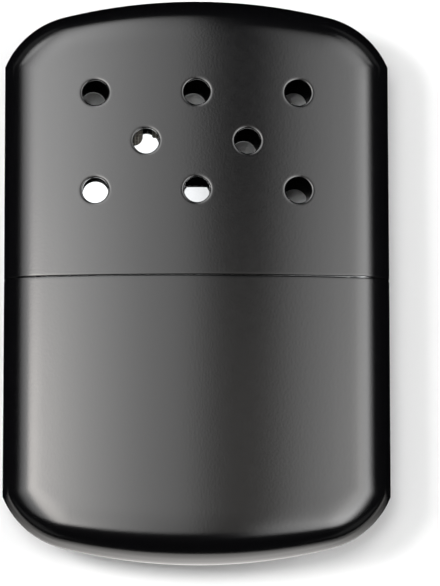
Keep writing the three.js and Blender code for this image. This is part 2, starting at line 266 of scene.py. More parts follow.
def extrude(y=0.0, z=0.0):
    """Extrudes what is selected, and moves it."""
    bpy.ops.mesh.extrude_region_move(TRANSFORM_OT_translate={"value": (0, y, z)})


def extrude_edges(y=0.0, z=0.0):
    """Extrudes the selected edges alone, and moves them."""
    bpy.ops.mesh.extrude_edges_move(TRANSFORM_OT_translate={"value": (0, y, z)})


def weld(distance=NEAR):
    """Merges all vertices that lie in one place."""
    bpy.ops.mesh.select_mode(type="VERT")
    everything()
    bpy.ops.mesh.remove_doubles(threshold=distance)


def outward():
    """Turns all faces outwards."""
    everything()
    bpy.ops.mesh.normals_make_consistent(inside=False)


def heal(piece):
    """Merges the vertices that lie in one place and turns all faces outwards."""
    with editing(piece):
        weld()
        outward()


def apply(piece, kind, **settings):
    """Adds a modifier to the piece, sets it and applies it."""
    choose(piece)
    modifier = piece.modifiers.new(kind, kind)
    for key, value in settings.items():
        setattr(modifier, key, value)
    bpy.ops.object.modifier_apply(modifier=modifier.name)


def smooth(piece, degrees=None):
    """Shades the piece smooth, but for edges sharper than an angle, if one is given."""
    choose(piece)
    if degrees is None:
        bpy.ops.object.shade_smooth()
    else:
        bpy.ops.object.shade_smooth_by_angle(angle=math.radians(degrees))


def settle(piece):
    """Puts the piece's place in its mesh, with its object at the origin."""
    choose(piece)
    bpy.ops.object.transform_apply(location=True, rotation=True, scale=True)


def join(piece, *others):
    """Joins the others into the piece."""
    choose(piece, *others)
    bpy.ops.object.join()


def combine(piece, other, operation):
    """Adds the other solid to the piece or cuts it away, and removes the other."""
    apply(piece, "BOOLEAN", operation=operation, solver="EXACT", object=other)
    choose(other)
    bpy.ops.object.delete()


def level(edge, y):
    """Whether an edge lies at one height along the case."""
    return all(abs(vertex.co.y - y) < NEAR for vertex in edge.verts)


def seat(piece, body, slot, material, *nodes):
    """Fixes a finished piece to its body in its material, in place of its CAD nodes."""
    piece.data.materials.clear()
    piece.data.materials.append(material)
    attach(piece, body)
    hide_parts(*nodes)


class CaseForm:
    """The die that the case is drawn over: a crowned face with a rolled edge, about the middle plane."""

    def __init__(self, sizes):
        self.sizes = sizes
        self.half_width = sizes.width / 2
        self.half_thickness = sizes.thickness / 2
        self.corner_x = self.half_width - sizes.corner_inset
        to_corner = math.sqrt((sizes.end_radius - sizes.corner_radius) ** 2 - self.corner_x**2)
        self.corner_depth = sizes.end_radius - to_corner
        self.end_turn = math.atan2(self.corner_x, to_corner)
        self.ring_depth = sizes.roll * self.half_thickness

    def edge(self, x, y):
        """Distance inside the plan outline, and the direction that leads inwards."""
        end_radius, corner_radius = self.sizes.end_radius, self.sizes.corner_radius
        depth = (self.sizes.lid_length if y > 0 else self.sizes.tank_length) - abs(y)
        across, side, up = abs(x), math.copysign(1, x), math.copysign(1, y)
        nearest = (self.half_width - across, (-side, 0.0))
        from_end = end_radius - depth
        if across * (end_radius - self.corner_depth) < self.corner_x * from_end:
            reach = math.hypot(across, from_end)
            return min(nearest, (end_radius - reach, (-x / reach, -up * from_end / reach)))
        if depth < self.corner_depth:
            out, along = across - self.corner_x, self.corner_depth - depth
            reach = math.hypot(out, along)
            return min(nearest, (corner_radius - reach, (-side * out / reach, -up * along / reach)))
        return nearest

    def press(self, point):
        """Where a point of the flat blank lands on the die, with its depth below the blank's top kept."""
        x, y, depth = point.x, point.y, -point.z
        inside, inward = self.edge(x, y)
        inside = 0.0 if inside < NEAR / 2 else inside
        radius, power = self.sizes.crown_radius, self.sizes.roll_power
        crown, slope = self.half_thickness - x * x / (2 * radius), -x / radius
        roll, roll_slope = self.sizes.roll * crown, self.sizes.roll * slope
        left = max(1 - inside / roll, 0.0)
        rise = math.sqrt(max(1 - left**power, 0.0))
        bend = crown * power / 2 * left ** (power - 1)
        lean_x = slope * rise * rise + bend * (inward[0] / roll - inside * roll_slope / roll**2)
        lean_y = bend * inward[1] / roll
        normal = Vector((-lean_x, -lean_y, rise)).normalized()
        return Vector((x, y, crown * rise)) - normal * depth

    def ring_depths(self):
        """Depths of the rings across the widest rolled edge, which turns down by even angles."""
        rings, turn = self.sizes.rolled_rings, math.pi / 2
        return [
            self.ring_depth * (1 - math.cos(i / rings * turn) ** (2 / self.sizes.roll_power))
            for i in range(rings + 1)
        ]


def draw_line(y, steps):
    """Draws the selected point out into a straight line of equal steps along the case."""
    for _ in range(steps):
        extrude(y=y / steps)


def draw_arc(centre, turn, steps):
    """Draws the selected point out into an arc, anticlockwise about a centre."""
    bpy.ops.mesh.spin(steps=steps, angle=-turn, center=(*centre, 0), axis=(0, 0, 1))


STRAIGHT_STEPS, CORNER_STEPS, END_STEPS = 13, 14, 40
FEW_SIDES = 20  # The large face of a blank or a deck has more sides than this, and all others have fewer


def draw_outline(form, inside):
    """Draws the case's outline with straight lines and arcs, at a distance inside its edge."""
    sizes = form.sizes
    corner = sizes.corner_radius - inside
    side_turn = math.acos((sizes.corner_inset - inside) / corner)
    corner_turn = math.pi / 2 - form.end_turn - side_turn
    bpy.ops.mesh.primitive_plane_add(size=MM, location=(form.half_width - inside, 0, 0))
    bpy.ops.mesh.merge(type="CENTER")
    for up, end in ((1, sizes.lid_length), (-1, sizes.tank_length)):
        straight = end - form.corner_depth + corner * math.sin(side_turn)
        corner_y = up * (end - form.corner_depth)
        draw_line(up * straight, STRAIGHT_STEPS)
        draw_arc((up * form.corner_x, corner_y), corner_turn, CORNER_STEPS)
        draw_arc((0, up * (end - sizes.end_radius)), 2 * form.end_turn, END_STEPS)
        draw_arc((-up * form.corner_x, corner_y), corner_turn, CORNER_STEPS)
        draw_line(-up * straight, STRAIGHT_STEPS)


def case_blank(name, form):
    """Flat blank of the whole case: the rings of its rolled edge, bridged, and its face."""
    depths = form.ring_depths()
    blank = start(name, bpy.ops.mesh.primitive_plane_add, size=MM)
    with editing(blank):
        bpy.ops.mesh.delete(type="VERT")
        for depth in depths:
            draw_outline(form, depth)
        weld()

        def on_ring(edge, depth):
            return all(abs(form.edge(v.co.x, v.co.y)[0] - depth) < 5 * NEAR for v in edge.verts)

        for near, far in zip(depths, depths[1:]):
            pick("EDGE", lambda edge: on_ring(edge, near) or on_ring(edge, far))
            bpy.ops.mesh.bridge_edge_loops()
        pick("EDGE", lambda edge: on_ring(edge, depths[-1]))
        bpy.ops.mesh.edge_face_add()
    return blank


def vent_places(vents, shift):
    """Centres of the vents of one face: rows of three, two and three."""
    rows = ((-1, 0, 1), (-0.5, 0.5), (-1, 0, 1))
    return [
        Vector((column * vents.column_pitch - shift, vents.first_row + row * vents.row_pitch, 0))
        for row, columns in enumerate(rows)
        for column in columns
    ]


VENT_MARGIN = 0.25 * MM  # Flat sheet kept round a vent's rounded edge
EDGE_STEPS = 8  # Faces across the rounded edge of a vent or a rim
# How far out and down the points of a rounded edge lie from its corner, as shares of its size
ROUNDING = [
    (1 - math.sin(turn), 1 - math.cos(turn))
    for turn in (i / EDGE_STEPS * math.pi / 2 for i in range(1, EDGE_STEPS + 1))
]
BURR = 0.05 * MM  # Chamfer of a bore's lower edge
RIM_SUPPORT = 0.3 * MM  # Flat strip behind the rounded rim at the seam
CROSS_LINES, CROSS_PITCH = 9, 4.1 * MM  # Lines across a face, and their spacing


def vent_rim(vents, wall):
    """Rim of one vent in the flat sheet: its margin, its rounded edge, its bore and its lower edge."""
    bore, width = vents.diameter / 2, vents.edge_width
    margin = bore + width + VENT_MARGIN
    profile = [(bore + width, 0)]
    profile += [(bore + width * out, -vents.edge_drop * down) for out, down in ROUNDING]
    profile += [(bore, -wall + BURR), (bore + BURR, -wall), (margin, -wall)]
    rim = start("vent_rim", bpy.ops.mesh.primitive_circle_add, vertices=vents.sides, radius=margin)
    with editing(rim):
        reach, height = margin, 0
        for radius, z in profile:
            extrude_edges(z=z - height)
            bpy.ops.transform.resize(value=(radius / reach, radius / reach, 1), center_override=(0, 0, z))
            reach, height = radius, z
    return rim


def punch_vents(blank, form, vents, shift):
    """Opens the blank's face round the vents and fills the sheet between their rims."""
    places = vent_places(vents, shift)
    rims = []
    for place in places:
        rim = vent_rim(vents, form.sizes.wall)
        rim.location = place
        settle(rim)
        rims.append(rim)
    with editing(blank):
        pick("FACE", lambda face: len(face.verts) > FEW_SIDES)
        bpy.ops.mesh.delete(type="ONLY_FACE")
    join(blank, *rims)
    near = form.ring_depth - NEAR

    def open_edge(edge):
        if len(edge.link_faces) > 1:
            return False
        return all(abs(v.co.z) < NEAR and form.edge(v.co.x, v.co.y)[0] > near for v in edge.verts)

    with editing(blank):
        pick("EDGE", open_edge)
        bpy.ops.mesh.fill(use_beauty=True)
    return places


def draw_face(name, form, up, vents=None, shift=0.0):
    """Draws one face of the lid, with up 1, or of the tank, with up -1, from a flat blank."""
    sizes = form.sizes
    seam = up * sizes.seam_gap / 2
    edge_y = seam + up * (sizes.rim_radius + RIM_SUPPORT)
    blank = case_blank(name, form)
    with editing(blank):
        bpy.ops.mesh.bisect(
            plane_co=(0, edge_y, 0), plane_no=(0, 1, 0), clear_inner=up > 0, clear_outer=up < 0
        )
    centres = punch_vents(blank, form, vents, shift) if vents else []
    clear = vents.diameter / 2 + vents.edge_width + VENT_MARGIN if vents else 0

    def in_rim(point):
        return any((point - centre).xy.length < clear - NEAR for centre in centres)

    with editing(blank):
        # The inside of the sheet
        pick("FACE", lambda face: face.normal.z**2 > 0.5 and abs(face.calc_center_median().z) < NEAR
             and not in_rim(face.calc_center_median()))
        bpy.ops.mesh.duplicate_move(TRANSFORM_OT_translate={"value": (0, 0, -sizes.wall)})
        # The rounded rim at the seam
        pick("EDGE", lambda edge: level(edge, edge_y) and all(abs(v.co.z) < NEAR for v in edge.verts))
        extrude_edges(y=-up * RIM_SUPPORT)
        here = (seam + up * sizes.rim_radius, 0)
        for out, down in ROUNDING:
            there = (seam + up * sizes.rim_radius * out, -sizes.rim_radius * down)
            extrude_edges(y=there[0] - here[0], z=there[1] - here[1])
            here = there
        extrude_edges(z=-sizes.wall - here[1])
        extrude_edges(y=edge_y - here[0])
        weld()
        # Lines along and across the face, so that it can take its crown
        near = form.ring_depth - 10 * NEAR
        pick("FACE", lambda face: not in_rim(face.calc_center_median()) and all(
            form.edge(v.co.x, v.co.y)[0] > near for v in face.verts))
        bpy.ops.mesh.hide(unselected=True)
        lines = int((form.half_width - form.ring_depth) / sizes.rib_pitch)
        cuts = [((i * sizes.rib_pitch, 0, 0), (1, 0, 0)) for i in range(-lines, lines + 1)]
        cuts += [((0, up * i * CROSS_PITCH, 0), (0, 1, 0)) for i in range(1, CROSS_LINES + 1)]
        for place, normal in cuts:
            everything()
            bpy.ops.mesh.bisect(plane_co=place, plane_no=normal)
        bpy.ops.mesh.reveal()
    for vertex in blank.data.vertices:
        vertex.co = form.press(vertex.co)
    return blank


def draw_shell(name, form, up, vents=None):
    """Joins the front and the back of the lid or of the tank at the middle plane."""
    shell = draw_face(name, form, up, vents)
    back = draw_face("back", form, up, vents, vents.back_shift if vents else 0.0)
    for vertex in back.data.vertices:
        vertex.co.z = -vertex.co.z
    join(shell, back)
    with editing(shell):
        weld(2 * NEAR)
        outward()
        move(z=form.half_thickness)
    smooth(shell, degrees=40)
    return shell


def oblong_loop(name, low, high, inset, corner, y):
    """Flat face across Y at a height: the burner's outline between two corners, drawn in by inset."""
    middle = (low + high) / 2
    loop = start(
        name, bpy.ops.mesh.primitive_plane_add,
        size=1, location=(middle.x, y, middle.z), rotation=(-math.pi / 2, 0, 0),
    )
    loop.scale = (high.x - low.x - 2 * inset, high.z - low.z - 2 * inset, 1)
    settle(loop)
    with editing(loop):
        bpy.ops.mesh.bevel(offset=corner, segments=6, affect="VERTICES")
    return loop


def open_loop(name, inset, corner, y):
    """Outline of the burner's section, without its face."""
    loop = oblong_loop(name, BURNER_LOW, BURNER_HIGH, inset, corner, y)
    with editing(loop):
        bpy.ops.mesh.delete(type="ONLY_FACE")
    return loop


def block(name, place, size):
    """Plain block that cuts an opening."""
    cutter = start(name, bpy.ops.mesh.primitive_cube_add, size=1, location=place)
    cutter.scale = size
    settle(cutter)
    return cutter


SLEEVE_SIDES = 160
DECK_STEPS = 4  # Faces across the rounding between the sleeve and its deck
HOLE_CORNER, MOUTH_CORNER = 0.9 * MM, 0.6 * MM
LIP_HEIGHT, LIP_ROLL, LIP_DROP = 0.15 * MM, 0.06 * MM, 0.04 * MM


def neck_sleeve(form, neck):
    """Plated sleeve round the case's inside, with its deck and mouth hole."""
    low_y, high_y = SLEEVE_LOW.y, SLEEVE_HIGH.y
    sleeve = start(
        "neck_sleeve_plated", bpy.ops.mesh.primitive_circle_add,
        vertices=SLEEVE_SIDES, radius=form.half_width, location=(0, low_y, 0), rotation=(math.pi / 2, 0, 0),
    )
    settle(sleeve)
    for vertex in sleeve.data.vertices:
        side = -1 if vertex.co.z < 0 else 1
        place = form.press(Vector((vertex.co.x, MM, -neck.sleeve_depth)))
        vertex.co = (place.x, low_y, side * place.z + form.half_thickness)
    radius = neck.deck_radius
    with editing(sleeve):
        weld()
        bpy.ops.mesh.edge_face_add()
        extrude(y=high_y - radius - low_y)
        outward()
        pick("FACE", lambda face: face.normal.y > 0.99 and len(face.verts) > FEW_SIDES)
        for i in range(DECK_STEPS):
            turn, further = i / DECK_STEPS * math.pi / 2, (i + 1) / DECK_STEPS * math.pi / 2
            bpy.ops.mesh.inset(
                thickness=radius * (math.cos(turn) - math.cos(further)),
                depth=radius * (math.sin(further) - math.sin(turn)),
                use_even_offset=True,
            )
        pick("FACE", lambda face: abs(face.normal.y) > 0.99 and len(face.verts) > FEW_SIDES)
        bpy.ops.mesh.delete(type="ONLY_FACE")
    hole = open_loop("mouth_hole", neck.mouth_hole_inset, HOLE_CORNER, high_y)
    join(sleeve, hole)
    with editing(sleeve):
        pick("EDGE", lambda edge: len(edge.link_faces) < 2 and level(edge, high_y))
        bpy.ops.mesh.fill(use_beauty=True)
        outward()
    apply(sleeve, "SOLIDIFY", thickness=neck.sleeve_wall, offset=-1, use_even_offset=True)
    smooth(sleeve, degrees=35)
    return sleeve


def mouthpiece(neck):
    """Oblong filler mouth, flanged where it sits on the deck, with a rolled lip."""
    bottom, lip, wall = MOUTH_LOW.y, MOUTH_HIGH.y, neck.mouth_wall
    deck = SLEEVE_HIGH.y
    flange_top = deck + neck.flange_thickness
    middle = (BURNER_LOW + BURNER_HIGH) / 2
    width = BURNER_HIGH.x - BURNER_LOW.x - 2 * neck.mouth_inset
    depth = BURNER_HIGH.z - BURNER_LOW.z - 2 * neck.mouth_inset
    mouth = open_loop("filler_mouth", neck.mouth_inset, MOUTH_CORNER, bottom)
    profile = [
        (0, deck), (neck.flange, deck), (neck.flange, flange_top), (0, flange_top),
        (0, lip - LIP_HEIGHT), (-LIP_ROLL, lip - LIP_DROP), (-wall / 2, lip),
        (LIP_ROLL - wall, lip - LIP_DROP), (-wall, lip - LIP_HEIGHT), (-wall, bottom), (0, bottom),
    ]
    out, height = 0, bottom
    with editing(mouth):
        bpy.ops.mesh.select_mode(type="EDGE")
        everything()
        for further, y in profile:
            extrude_edges(y=y - height)
            wider, deeper = ((side + 2 * further) / (side + 2 * out) for side in (width, depth))
            bpy.ops.transform.resize(value=(wider, 1, deeper), center_override=(middle.x, y, middle.z))
            out, height = further, y
    heal(mouth)
    smooth(mouth, degrees=35)
    return mouth


def oblong_block(name, low, high, inset, corner, fold=0.0):
    """Upright block of oblong section, with its top edge rounded over."""
    solid = oblong_loop(name, low, high, inset, corner, low.y)
    with editing(solid):
        bpy.ops.mesh.select_mode(type="FACE")
        extrude(y=high.y - low.y)
        outward()
        if fold:
            pick("EDGE", lambda edge: level(edge, high.y))
            bpy.ops.mesh.bevel(offset=fold, segments=5, affect="EDGES")
    return solid


THROUGH = 2 * MM  # Length of a cutter that leads right through the sheet
GRATE_EDGE = 0.06 * MM


def stepped_block(name, burner, inset, corner, fold=0.0):
    """The burner's wide skirt and narrow hood as one solid, drawn in by inset."""
    low, high = BURNER_LOW, BURNER_HIGH
    middle, half = (low.x + high.x) / 2, burner.hood_width / 2

    def part(part_name, left, right, top):
        corners = Vector((left, low.y - inset, low.z)), Vector((right, top - inset, high.z))
        return oblong_block(part_name, *corners, inset, corner, fold)

    skirt = part(name, low.x, high.x, burner.shoulder)
    combine(skirt, part("hood", middle - half, middle + half, high.y), "UNION")
    return skirt


def burner_housing(burner):
    """Plated cover: a wide skirt and a narrower windowed hood, pressed from one sheet."""
    low, high = BURNER_LOW, BURNER_HIGH
    middle = (low + high) / 2
    housing = stepped_block("burner_cover", burner, 0.0, burner.corner, burner.fold)
    hollow = stepped_block("hollow", burner, burner.sheet, burner.corner - burner.sheet)
    combine(housing, hollow, "DIFFERENCE")
    post = burner.post_width / 2
    outer = burner.hood_width / 2 - burner.hood_frame
    inner = burner.post_offset + post
    cutters = []
    for left, right, sill, radius in (
        (-outer, -inner, burner.side_sill, burner.side_radius),
        (post - burner.post_offset, burner.post_offset - post, burner.middle_sill, burner.middle_radius),
        (inner, outer, burner.side_sill, burner.side_radius),
    ):
        centre_x, width = middle.x + (left + right) / 2, right - left
        window = block(
            "window", (centre_x, (sill + burner.window_top) / 2, middle.z),
            (width, burner.window_top - sill, 2 * (high.z - low.z)),
        )
        with editing(window):
            # The edges of the sill that lead from front to back
            pick("EDGE", lambda edge: level(edge, sill) and abs(edge.verts[0].co.z - edge.verts[1].co.z) > MM)
            bpy.ops.mesh.bevel(offset=radius, segments=8, affect="EDGES")
        slot = block("slot", (centre_x, high.y, middle.z), (width, THROUGH, burner.slot_depth))
        cutters += [window, slot]
    join(*cutters)
    combine(housing, cutters[0], "DIFFERENCE")
    heal(housing)
    smooth(housing, degrees=30)
    apply(housing, "WEIGHTED_NORMAL", keep_sharp=True)
    return housing


def pad_grate(burner):
    """Plate with a row of round holes, which carries the pad."""
    middle = (GRATE_LOW + GRATE_HIGH) / 2
    plate = oblong_block("perforated_grate", GRATE_LOW, GRATE_HIGH, 0.0, burner.corner)
    holes = []
    for i in range(burner.grate_holes):
        place = middle + Vector(((i - (burner.grate_holes - 1) / 2) * burner.grate_pitch, 0, 0))
        hole = start(
            "hole", bpy.ops.mesh.primitive_cylinder_add, vertices=40, radius=burner.grate_hole / 2,
            depth=THROUGH, location=place, rotation=(math.pi / 2, 0, 0),
        )
        settle(hole)
        holes.append(hole)
    join(*holes)
    combine(plate, holes[0], "DIFFERENCE")
    apply(plate, "BEVEL", width=GRATE_EDGE, segments=3, limit_method="ANGLE", angle_limit=math.radians(50))
    smooth(plate, degrees=35)
    return plate


def wavy_wires(name, wires, pitch, crossings, crossing_pitch, wave):
    """Flat row of an even number of wires along Y, each passing over and under at its crossings."""
    row = start(name, bpy.ops.mesh.primitive_plane_add, size=MM)
    with editing(row):
        bpy.ops.mesh.merge(type="CENTER")
        move(y=-(crossings - 1) * crossing_pitch / 2, z=-wave)
        for i in range(crossings - 1):
            extrude(y=crossing_pitch, z=2 * wave if i % 2 == 0 else -2 * wave)
        everything()
        bpy.ops.mesh.duplicate_move(TRANSFORM_OT_translate={"value": (pitch, 0, 0)})
        bpy.ops.transform.resize(value=(1, 1, -1), center_override=(0, 0, 0))
    apply(
        row, "ARRAY", count=wires // 2, use_relative_offset=False, use_constant_offset=True,
        constant_offset_displace=(2 * pitch, 0, 0),
    )
    with editing(row):
        move(x=-(wires - 1) * pitch / 2)
    return row


def wire_gauze(burner):
    """Woven wire gauze, folded over the pad like a saddle."""
    low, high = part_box("wire_screen")
    middle = (low + high) / 2
    radius = burner.wire / 2
    wave = radius * 1.02  # Crossing wires all but touch
    half_depth = (high.z - low.z) / 2 - radius - wave
    top = high.y - radius - wave
    fold = burner.gauze_fold
    wide = high.x - low.x - burner.wire
    long = 2 * (top - fold - low.y - radius + half_depth - fold) + math.pi * fold
    warps, wefts = (2 * round(way / burner.wire_pitch / 2) for way in (wide, long))
    warp_pitch, weft_pitch = wide / (warps - 1), long / (wefts - 1)
    gauze = wavy_wires("woven_gauze", warps, warp_pitch, wefts, weft_pitch, wave)
    weft = wavy_wires("weft", wefts, weft_pitch, warps, warp_pitch, wave)
    with editing(weft):
        bpy.ops.transform.rotate(value=math.pi / 2, orient_axis="Z", center_override=(0, 0, 0))
    join(gauze, weft)
    flat = half_depth - fold
    for vertex in gauze.data.vertices:
        x, way, out = vertex.co
        side, way = math.copysign(1, way), abs(way)
        turn = min(max((way - flat) / fold, 0), math.pi / 2)
        down = max(way - flat - math.pi / 2 * fold, 0)
        z = min(way, flat) + (fold + out) * math.sin(turn)
        y = top - fold + (fold + out) * math.cos(turn) - down
        vertex.co = (middle.x + x, y, middle.z + side * z)
    choose(gauze)
    bpy.ops.object.convert(target="CURVE")
    gauze.data.bevel_depth = radius
    gauze.data.bevel_resolution = 1
    gauze.data.use_fill_caps = True
    bpy.ops.object.convert(target="MESH")
    gauze = named("woven_gauze")
    heal(gauze)
    smooth(gauze, degrees=60)
    return gauze


MEAN_SINK, LUMPS, SMALL_LUMPS = 0.5, 0.35, 0.15  # Shares of how far a surface sinks at most
SMALLER = 4.1  # How many times smaller than a lump a small lump is


def stuffed(name, node, cell, lump, lump_size, softness):
    """Soft mass packed into its place: its faces sink between lumps and its give rounds its edges."""
    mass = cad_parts[node].copy()
    mass.data = mass.data.copy()
    bpy.context.collection.objects.link(mass)
    choose(mass)
    named(name)
    mass.modifiers.clear()
    heal(mass)
    apply(mass, "REMESH", mode="VOXEL", voxel_size=cell)
    apply(mass, "SMOOTH", factor=0.5, iterations=softness)
    normals = [vertex.normal.copy() for vertex in mass.data.vertices]
    for vertex, normal in zip(mass.data.vertices, normals):
        place = vertex.co / lump_size
        sink = MEAN_SINK + LUMPS * noise.noise(place) + SMALL_LUMPS * noise.noise(place * SMALLER)
        vertex.co -= normal * lump * min(max(sink, 0), 1)
    smooth(mass)
    return mass


def add_node(tree, kind, *inputs, **settings):
    """Adds one shader node with its first inputs in order, and others and its settings by name.

    An input given as a node, or as an output of one, is linked to it.
    """
    node = tree.nodes.new("ShaderNode" + kind)
    for key, value in (*enumerate(inputs), *settings.items()):
        if key in settings and hasattr(node, key):
            setattr(node, key, value)
            continue
        socket = node.inputs[key.replace("_", " ") if key in settings else key]
        if isinstance(value, bpy.types.Node):
            value = value.outputs[0]
        if isinstance(value, bpy.types.NodeSocket):
            tree.links.new(value, socket)
        else:
            socket.default_value = value
    return node


def new_material(name):
    """Material without nodes, the function that adds its nodes, and the socket of the place on the object."""
    material = bpy.data.materials.new(name)
    material.use_nodes = True
    material.node_tree.nodes.clear()
    add = partial(add_node, material.node_tree)
    return material, add, add("TexCoord").outputs["Object"]


def black_satin_enamel(colours):
    """Stoved black enamel on drawn steel: a smooth satin skin, almost black under its blurred reflections."""
    material, add, place = new_material("black_satin_enamel")
    # Flow of the enamel, about 1.5 mm from wave to wave, changes the gloss very slightly
    flow = add("TexNoise", place, Scale=700.0, Detail=2.0)
    gloss = add("MapRange", flow, To_Min=0.13, To_Max=0.16)
    # Fine peel of the stoved skin: its 0.1 mm grain is too fine to show, so its bumps are drawn 0.4 mm apart
    grain = add("TexNoise", place, Scale=2600.0, Detail=2.0)
    peel = add("Bump", Height=grain, Strength=0.28, Distance=0.00002)
    surface = add("BsdfPrincipled", Base_Color=(*colours.enamel, 1), IOR=1.5, Roughness=gloss, Normal=peel)
    add("OutputMaterial", surface)
    return material


def bright_plate(colours):
    """Bright plating on drawn sheet: a mirror, slightly dulled by the lines of the drawing."""
    material, add, place = new_material("bright_chrome_plate")
    # Drawing lines along the case streak its shine: real ones are too fine to show, these are 0.25 mm apart
    along = add("Mapping", place, Scale=(4000, 150, 4000))
    lines = add("TexNoise", along, Scale=1.0, Detail=2.0)
    gloss = add("MapRange", lines, To_Min=0.06, To_Max=0.12)
    surface = add("BsdfPrincipled", Base_Color=(*colours.plate, 1), Metallic=1.0, Roughness=gloss)
    add("OutputMaterial", surface)
    return material


def fibre(name, tint, scale, hollow_shade, strength):
    """Matted fibre: pale tangled threads without shine, which scatter the light, with painted shade in the
    hollows between tangles.
    """
    material, add, place = new_material(name)
    # Single threads are too fine to show, so tangles of 0.4 to 1.1 mm are drawn, with painted shade darkening
    # their hollows
    tangle = add("TexNoise", place, Scale=scale, Detail=6.0, Distortion=1.5)
    ramp = add("ValToRGB", tangle)
    # The first stop is painted shade in the tangles' hollows: the tint darkened by the given share
    hollow, top = ramp.color_ramp.elements
    hollow.position, hollow.color = 0.3, (*(c * hollow_shade for c in tint), 1)
    top.position, top.color = 0.7, (*tint, 1)
    bump = add("Bump", Height=tangle, Strength=strength, Distance=0.0001)
    surface = add("BsdfPrincipled", Base_Color=ramp, Roughness=1.0, Sheen_Weight=0.2, Normal=bump)
    add("OutputMaterial", surface)
    return material


def dull_wire(colours):
    """Drawn nickel-steel wire: a metal that mirrors in its own colour, dulled by heat."""
    material, add, place = new_material("dull_wire_steel")
    # Stain of the heat, in patches of 1 to 2 mm that take some of the shine away
    stain = add("TexNoise", place, Scale=600.0, Detail=3.0)
    gloss = add("MapRange", stain, To_Min=0.35, To_Max=0.55)
    surface = add("BsdfPrincipled", Base_Color=(*colours.gauze, 1), Metallic=1.0, Roughness=gloss)
    add("OutputMaterial", surface)
    return material


def matt_board(colours):
    """Matt coated board: an almost even white that mirrors nothing."""
    material, add, place = new_material("matt_white_board")
    # The coating is faintly mottled, in patches of about 15 mm
    mottle = add("TexNoise", place, Scale=60.0, Detail=3.0)
    ramp = add("ValToRGB", mottle)
    patch, clean = ramp.color_ramp.elements
    patch.color, clean.color = (*(c * 0.99 for c in colours.table), 1), (*colours.table, 1)
    # The board's tooth is drawn coarser than it is, 0.3 mm from bump to bump
    tooth = add("TexNoise", place, Scale=3000.0, Detail=2.0)
    bump = add("Bump", Height=tooth, Strength=0.05, Distance=0.00005)
    surface = add("BsdfPrincipled", Base_Color=ramp, Roughness=0.9, Normal=bump)
    add("OutputMaterial", surface)
    return material


def soft_light(name, place, size, strength):
    """Soft light aimed at the object, which lights the table and shows in no reflection."""
    turn = Vector(place).to_track_quat("Z", "Y").to_euler()
    light = start(name, bpy.ops.object.light_add, type="AREA", location=place, rotation=turn)
    light.data.size = size
    light.data.energy = strength
    light.visible_camera = light.visible_glossy = False


def glowing_cloth(name, across, along, height, tint=(1.0, 1.0, 1.0)):
    """Level cloth that glows by place and shows only in reflections.

    across is its brightness by place across the case, and along is the share of it that is left by place
    along the case.
    """
    (low_x, high_x), (low_y, high_y) = ((stops[0][0], stops[-1][0]) for stops in (across, along))
    middle = ((low_x + high_x) / 2, (low_y + high_y) / 2, height)
    cloth = start(name, bpy.ops.mesh.primitive_plane_add, size=1, location=middle)
    cloth.scale = (high_x - low_x, high_y - low_y, 1)
    settle(cloth)
    material, add, place = new_material(name)
    axes = add("SeparateXYZ", place)
    strongest = max(glow for _, glow in across)
    ramps = []
    for axis, low, high, stops, top in (
        ("X", low_x, high_x, across, strongest), ("Y", low_y, high_y, along, 1.0)
    ):
        way = add("MapRange", axes.outputs[axis], From_Min=low, From_Max=high)
        ramps.append(add("ValToRGB", way))
        elements = ramps[-1].color_ramp.elements
        for index, (spot, glow) in enumerate(stops):
            position, grey = (spot - low) / (high - low), glow / top
            element = elements[index] if index < 2 else elements.new(position)
            element.position, element.color = position, (grey, grey, grey, 1)
    product = add("Math", *ramps, operation="MULTIPLY")
    strength = add("Math", product, strongest, operation="MULTIPLY")
    lit = add("Emission", (*tint, 1), strength)
    both = add("AddShader", lit, add("BsdfTransparent"))
    add("OutputMaterial", both)
    cloth.data.materials.append(material)
    cloth.visible_camera = cloth.visible_diffuse = cloth.visible_shadow = False
    return cloth


def overhead_cloth(name, across, along, height=1.2, **looks):
    """Glowing cloth whose places are angles from upright, as seen from the object."""
    across, along = (
        [(height * math.tan(math.radians(degrees)), glow) for degrees, glow in stops]
        for stops in (across, along)
    )
    glowing_cloth(name, across, along, height, **looks)


def one_side(way, glow, places):
    """Even glow on one side of the object, which comes in and goes out between four places."""
    near, full, fading, far = (way * place for place in places)
    return sorted(((near, 0), (full, glow), (fading, glow), (far, 0)))


